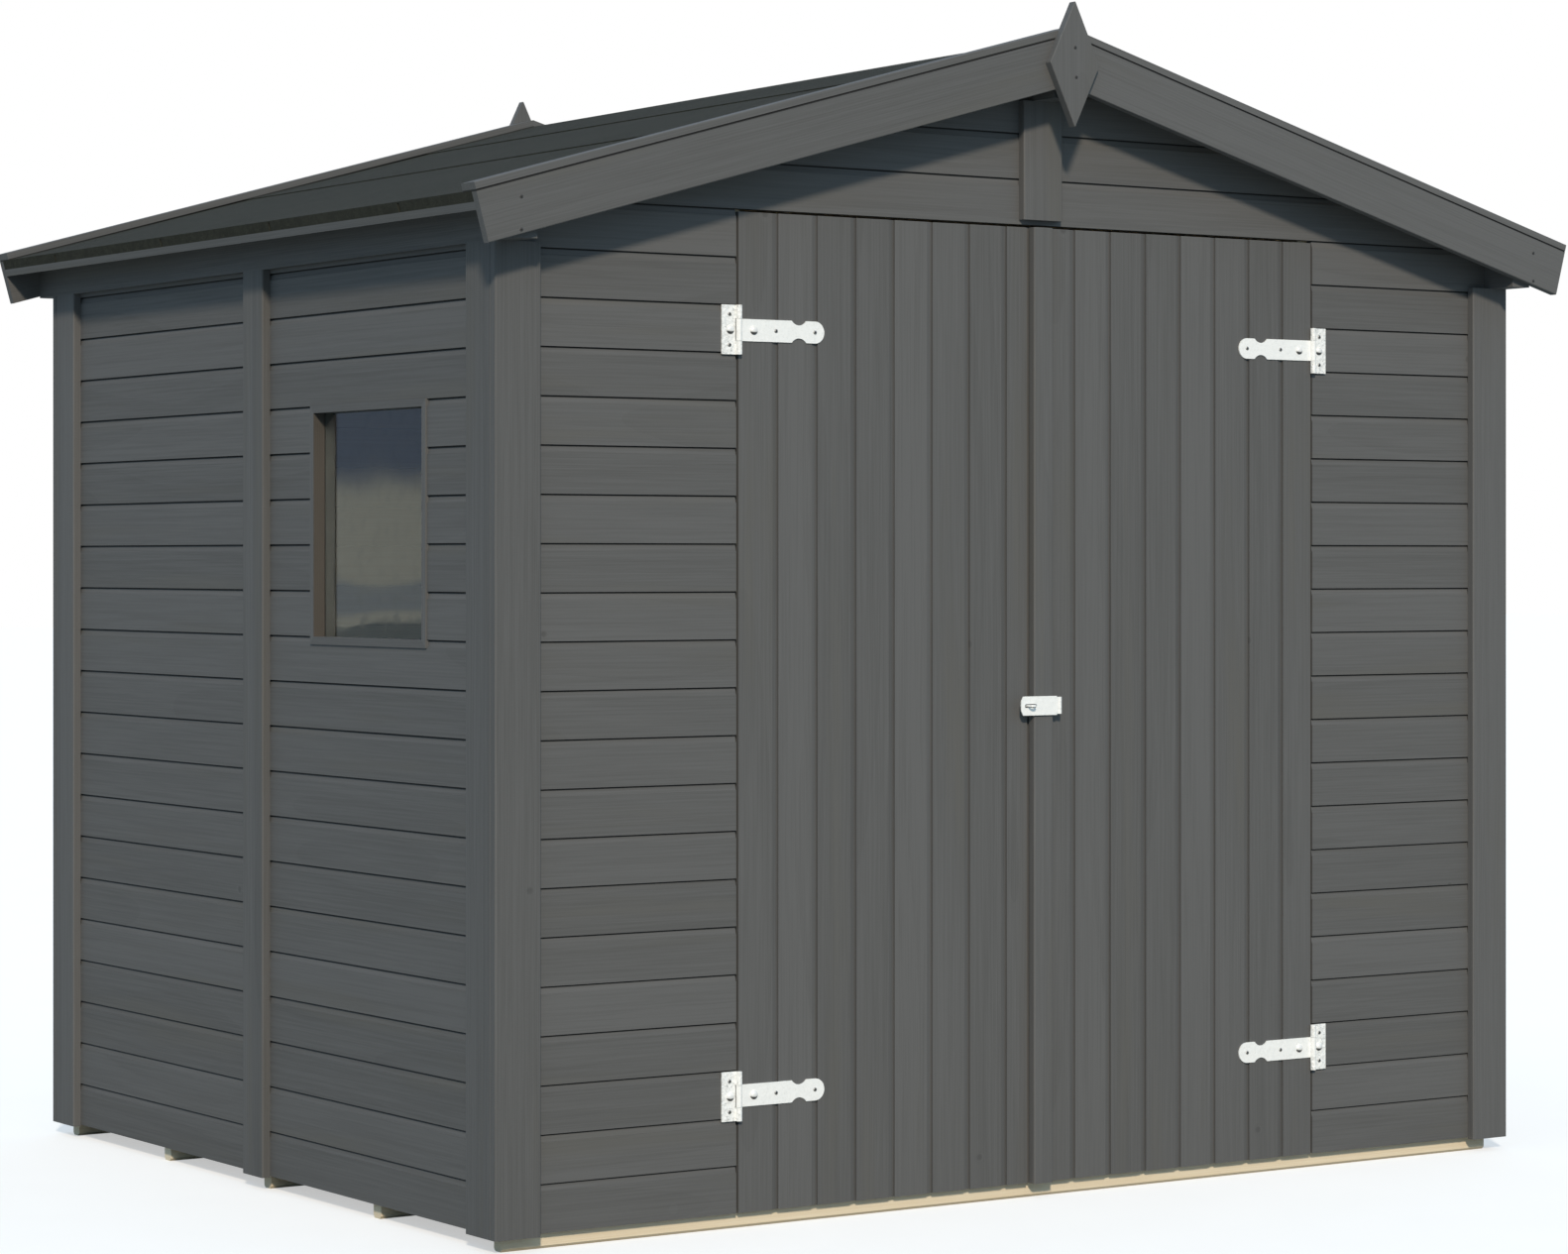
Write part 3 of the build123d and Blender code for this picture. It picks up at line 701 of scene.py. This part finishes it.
PAN_RISE = 0.00125
PAN_SCREW = ((0, 0.0011), (0.0024, 0.0011), (0.0034, 0.0007), (0.0037, 0.0), (0.0037, -0.0010))
leaf_boards = 8
hinge_heights = (0.235, 1.580)
ledge_centres = (hinge_heights[0], 0.908, hinge_heights[1])
ledge_screw_rises = (-0.025, 0.025)
ledge_screw_stagger = 0.4
ledge_margin = 0.012
for side_name, first in leaves:
    low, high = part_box(f"{side_name}_door_ledges")
    screw_places = []
    for index in range(leaf_boards):
        x = first + (index + 0.5) * board_cover
        if low.x + ledge_margin < x < high.x - ledge_margin:
            for z in ledge_centres:
                for rise in ledge_screw_rises:
                    screw_places.append(((x + rise * ledge_screw_stagger, high.y, z + rise), TO_BACK))
    name = f"{side_name}_ledge_screws"
    body = f"{side_name}_door"
    screws(name, SUNK_SCREW, SUNK_RISE, screw_places, screw_metal.material, body)


# Strap hinges. Bright galvanised sheet steel, stamped and rolled, with a fixed pin.
# A coach bolt and two small screws hold each strap, and the same hold each jamb plate.


def galvanised(name, relief, fold_reflection_share):
    """Zinc coat with its spangle. relief is how far the spangle stands out, and the last argument is how
    dark the painted reflection lines along the folds are.
    """
    s = Surface(name)
    warped = s.noise(s.place, 60.0, detail=2.0)
    bent = s.join(s.x + warped * 0.008, s.y + warped * 0.008, s.z + warped * 0.008)
    spangle = s.cells(bent, 110.0)
    shade = s.split(spangle.other("Color"))[0]
    crinkle = s.noise(bent, 190.0, detail=3.0)
    fold = s.noise(bent, 130.0, detail=1.0) - 0.5
    # Dark lines along the folds are painted reflection.
    fold_reflection = fold.math("ABSOLUTE").ramp(0.006, 0.024, 1.0, 0.0)
    colour = s.mix(shade * 0.6 + crinkle * 0.4, (1.0, 1.0, 0.985, 1), (0.93, 0.94, 0.93, 1))
    colour = s.mix(fold_reflection * fold_reflection_share, colour, (0.28, 0.29, 0.28, 1))
    rough = 0.34 + shade * 0.16
    s.feed(Base_Color=colour, Roughness=rough, Metallic=0.06)
    s.feed(Normal=s.relief(spangle * relief + crinkle * 0.4, 0.0008, 0.7))
    return s.material


strap_zinc = galvanised("zinc_straps", 0.5, 0.12)
plate_zinc = galvanised("zinc_plates", 3.0, 0.55)

bolt = Surface("zinc_bolts")
bolt_tone = bolt.noise(bolt.place, 500.0, detail=2.0)
# The underside of each dome is painted near black as its shade.
bolt_underside_shade = bolt.facing[Z].ramp(-0.40, -0.12, 1.0, 0.0)
bolt_bright = bolt.mix(bolt_tone, (0.97, 0.97, 0.95, 1), (0.84, 0.85, 0.85, 1))
bolt.feed(
    Base_Color=bolt.mix(bolt_underside_shade * 0.95, bolt_bright, (0.03, 0.03, 0.03, 1)),
    Roughness=0.30 + bolt_tone * 0.15,
    Metallic=0.15,
)
dress(strap_zinc, "left_door_straps", "right_door_straps")
dress(plate_zinc, "hinge_plates")

COACH_BOLT = (
    (0, 0.0046),
    (0.0025, 0.0044),
    (0.0048, 0.0037),
    (0.0066, 0.0025),
    (0.0077, 0.0011),
    (0.0080, 0.0002),
    (0.0080, -0.0008),
)
barrel_radius = 0.0055
hinge_gauge = 0.0025
strap_bolt_reach = 0.033
strap_screw_reaches = (0.080, 0.163)
plate_bolt_reach = 0.0166
plate_screw_reach = 0.018
plate_screw_rises = (-0.027, 0.027)
hinge_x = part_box("right_door_straps")[1].x - barrel_radius
strap_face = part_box("left_door_boards")[0].y - hinge_gauge
for side_name, side in SIDES:
    bolts = []
    screw_places = []
    for z in hinge_heights:
        bolts.append(((side * (hinge_x - strap_bolt_reach), strap_face, z), TO_FRONT))
        for reach in strap_screw_reaches:
            screw_places.append(((side * (hinge_x - reach), strap_face, z), TO_FRONT))
    body = f"{side_name}_door"
    heads(f"{side_name}_strap_bolts", COACH_BOLT, bolts, bolt.material, body)
    name = f"{side_name}_strap_screws"
    screws(name, PAN_SCREW, PAN_RISE, screw_places, screw_metal.material, body)

bolts = []
screw_places = []
for side in (-1, 1):
    for z in hinge_heights:
        bolts.append(((side * (hinge_x + plate_bolt_reach), strap_face, z), TO_FRONT))
        for rise in plate_screw_rises:
            place = (side * (hinge_x + plate_screw_reach), strap_face, z + rise)
            screw_places.append((place, TO_FRONT))
heads("plate_bolts", COACH_BOLT, bolts, bolt.material, "shed")
screws("plate_screws", PAN_SCREW, PAN_RISE, screw_places, screw_metal.material, "shed")


# Hasp and staple. The base, which is on the cover strip, and its flap are bent from the same
# galvanised sheet as the hinges. The staple is round wire driven into the left leaf, and stands
# through the flap's slot.

dress(strap_zinc, "hasp_base", "hasp_flap", "hasp_staple")


# Stage. A plain pale floor that keeps the shadow, a white surround, soft low sun from the left
# front, a cooler sky light with the bands that the pane mirrors, and the camera at the height and
# angle of the photograph.

ground = Surface("pale_floor")
speck = ground.noise(ground.place, 6.0, detail=2.0)
ground.feed(Base_Color=ground.mix(speck, (0.60, 0.60, 0.60, 1), (0.64, 0.64, 0.64, 1)), Roughness=0.9)
glow = ground.node("ShaderNodeEmission", inputs={"Color": (1, 1, 1, 1), "Strength": 0.5})
pale = ground.node("ShaderNodeAddShader", inputs={0: Wire(ground, ground.shader.outputs[0]), 1: glow})
duller = ground.node("ShaderNodeBsdfDiffuse", inputs={"Color": (0.33, 0.34, 0.33, 1)})
seen = ground.node("ShaderNodeLightPath").other("Is Camera Ray")
chosen = ground.node("ShaderNodeMixShader", inputs={0: seen, 1: duller, 2: pale})
ground.tree.links.new(chosen.socket, ground.output.inputs[0])
half_floor = 60.0
floor_mesh = bpy.data.meshes.new("stage_floor")
floor_corners = [(x * half_floor, y * half_floor, 0) for x, y in ((-1, -1), (1, -1), (1, 1), (-1, 1))]
floor_mesh.from_pydata(floor_corners, [], [(0, 1, 2, 3)])
floor_mesh.materials.append(ground.material)
stage_floor = bpy.data.objects.new("stage_floor", floor_mesh)
bpy.context.scene.collection.objects.link(stage_floor)

sun_data = bpy.data.lights.new("low_sun", "SUN")
sun_data.energy = 2.7
sun_data.angle = math.radians(5)
sun_data.color = (1.0, 0.87, 0.71)
sun = bpy.data.objects.new("low_sun", sun_data)
sun_azimuth = math.radians(31)
sun_height = math.radians(30)
travel = Vector((math.sin(sun_azimuth), math.cos(sun_azimuth), -math.tan(sun_height)))
sun.rotation_euler = travel.to_track_quat("-Z", "Y").to_euler()
bpy.context.scene.collection.objects.link(sun)

world = bpy.data.worlds.new("white_surround")
world.use_nodes = True
sky = Graph(world.node_tree)
ray = sky.node("ShaderNodeLightPath")
direction = sky.node("ShaderNodeTexCoord")
rise = sky.split(direction)[Z]
edge = sky.noise(direction, 7.0, detail=3.0) * 0.02
band_foot = (-0.0030, -0.0005)
band_top = (0.0050, 0.0075)
haze_foot = (0.026, 0.036)
upper_foot = (0.10, 0.45)
band = (rise + edge).ramp(*band_foot) * (rise + edge).ramp(*band_top, 1.0, 0.0)
low_sky = sky.mix(band, (0.68, 0.70, 0.625, 1), (0.44, 0.50, 0.54, 1))
haze = sky.mix((rise + edge).ramp(*haze_foot), low_sky, (0.21, 0.27, 0.37, 1))
upper = sky.mix((rise + edge).ramp(*upper_foot), haze, (0.52, 0.62, 0.78, 1))
white = sky.node("ShaderNodeBackground", inputs={"Color": (1, 1, 1, 1), "Strength": 1.0})
cool = sky.node("ShaderNodeBackground", inputs={"Color": (0.52, 0.78, 1.0, 1), "Strength": 0.66})
mirrored = sky.node("ShaderNodeBackground", inputs={"Color": upper, "Strength": 1.0})
lit = sky.node("ShaderNodeMixShader", inputs={0: ray.other("Is Glossy Ray"), 1: cool, 2: mirrored})
shown = sky.node("ShaderNodeMixShader", inputs={0: ray, 1: lit, 2: white})
surround = sky.tree.nodes.new("ShaderNodeOutputWorld")
sky.tree.links.new(shown.socket, surround.inputs[0])
bpy.context.scene.world = world

camera_data = bpy.data.cameras.new("photo_camera")
camera_data.sensor_width = 36.0
camera_data.lens = 95.6
camera_data.shift_y = -0.0424
camera_data.clip_end = 200.0
camera = bpy.data.objects.new("photo_camera", camera_data)
camera.location = (-4.655, -7.021, 1.175)
camera.rotation_euler = (math.radians(90), 0, math.radians(-33.74))
bpy.context.scene.collection.objects.link(camera)
bpy.context.scene.camera = camera
bpy.context.scene.view_settings.view_transform = "Standard"
